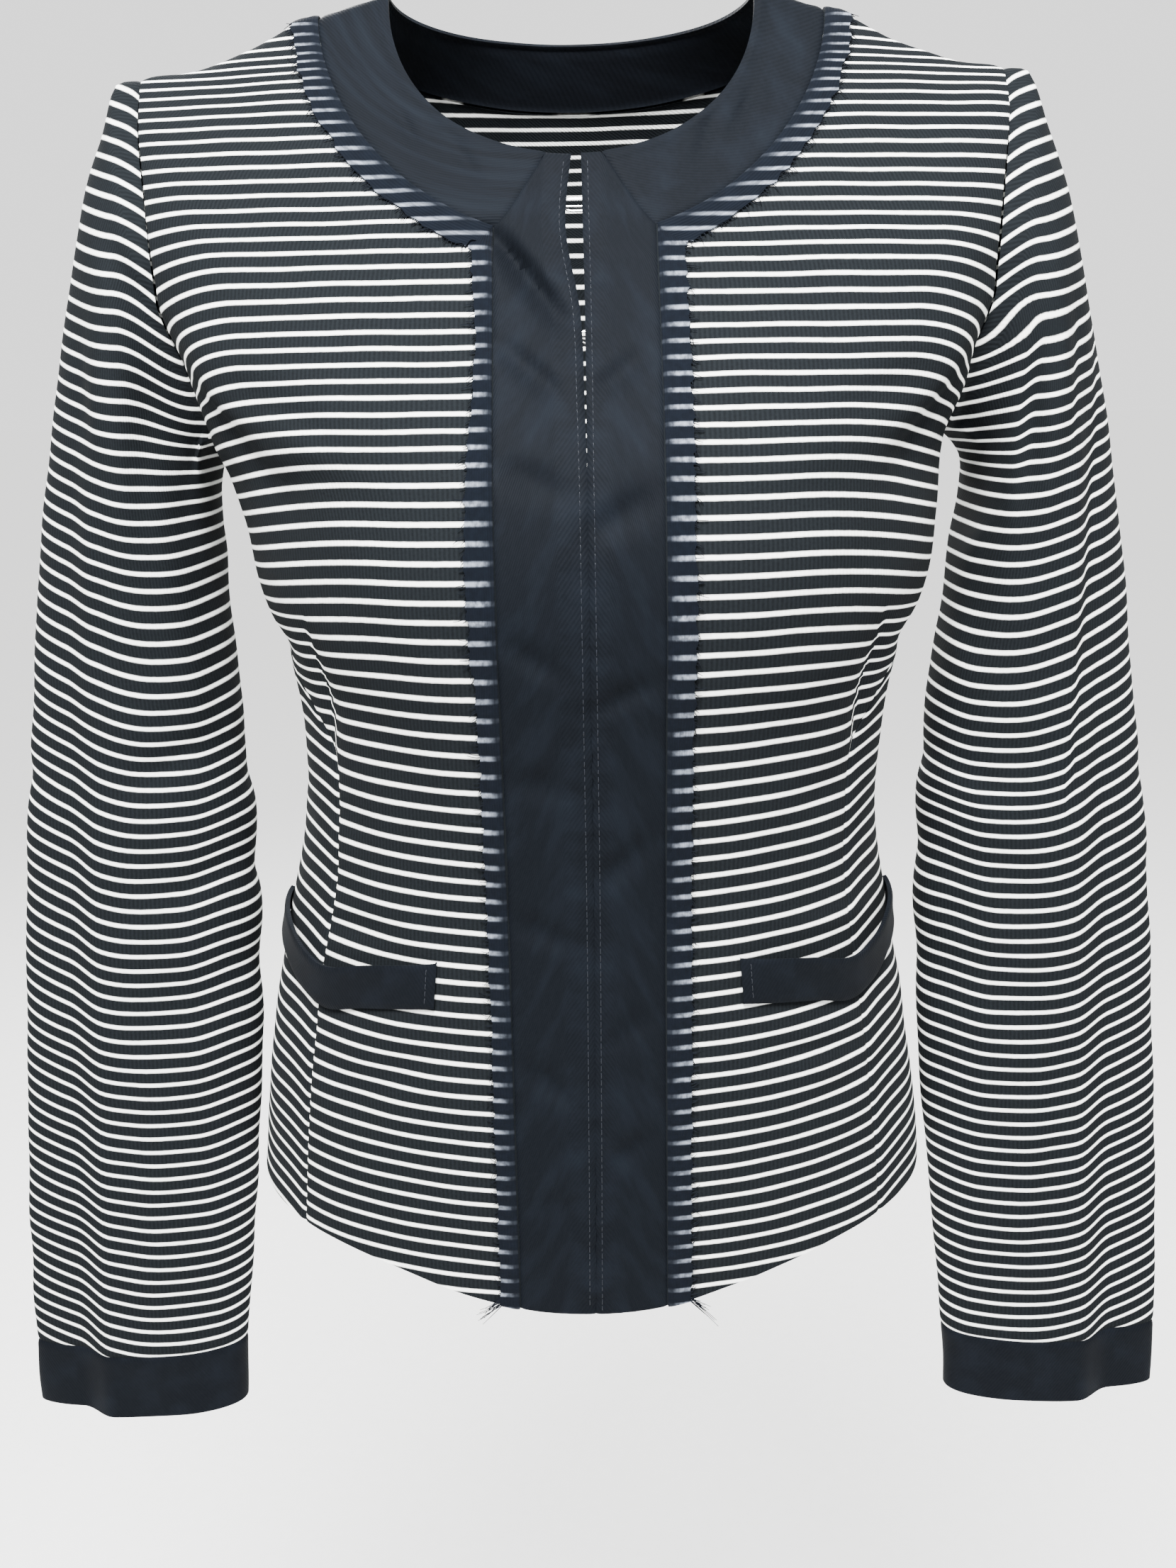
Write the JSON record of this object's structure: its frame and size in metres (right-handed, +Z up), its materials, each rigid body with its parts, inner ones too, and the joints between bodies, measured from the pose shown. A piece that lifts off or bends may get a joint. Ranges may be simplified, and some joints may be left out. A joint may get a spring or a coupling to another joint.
{
  "type": "short fitted collarless jersey jacket",
  "caption": "Short fitted collarless striped jersey jacket, hollow as worn, hooked down the centre front, with plain bands, ribbon trim, pocket welts and cuffs.",
  "frame": {"origin": "midway between the two places where the shoulders meet the neck, where the wearer's shoulders hold the jacket up", "axes": "+Z up, the front faces -Y, +X to the right of someone who looks at the front"},
  "size_m": [0.5384, 0.2371, 0.6166],
  "materials": {
    "jersey": "knitted cotton, navy with off-white stripes",
    "twill": "matt navy cotton twill",
    "ribbon": "thin navy gauze with raw edges",
    "steel": "bright drawn wire"
  },
  "bodies": {
    "root": {"front_left": "jersey", "front_right": "jersey", "side_left": "jersey", "side_right": "jersey", "back": "jersey", "sleeve_left": "jersey", "sleeve_right": "jersey", "cuff_left": "twill", "cuff_right": "twill", "band_left": "twill", "band_right": "twill", "neckband": "twill", "welt_left": "twill", "welt_right": "twill", "trim_left": "ribbon", "trim_right": "ribbon", "hook_1": "steel", "hook_2": "steel", "hook_3": "steel", "hook_4": "steel", "hook_5": "steel", "hook_6": "steel", "hook_7": "steel", "eye_1": "steel", "eye_2": "steel", "eye_3": "steel", "eye_4": "steel", "eye_5": "steel", "eye_6": "steel", "eye_7": "steel"}
  },
  "joints": []
}
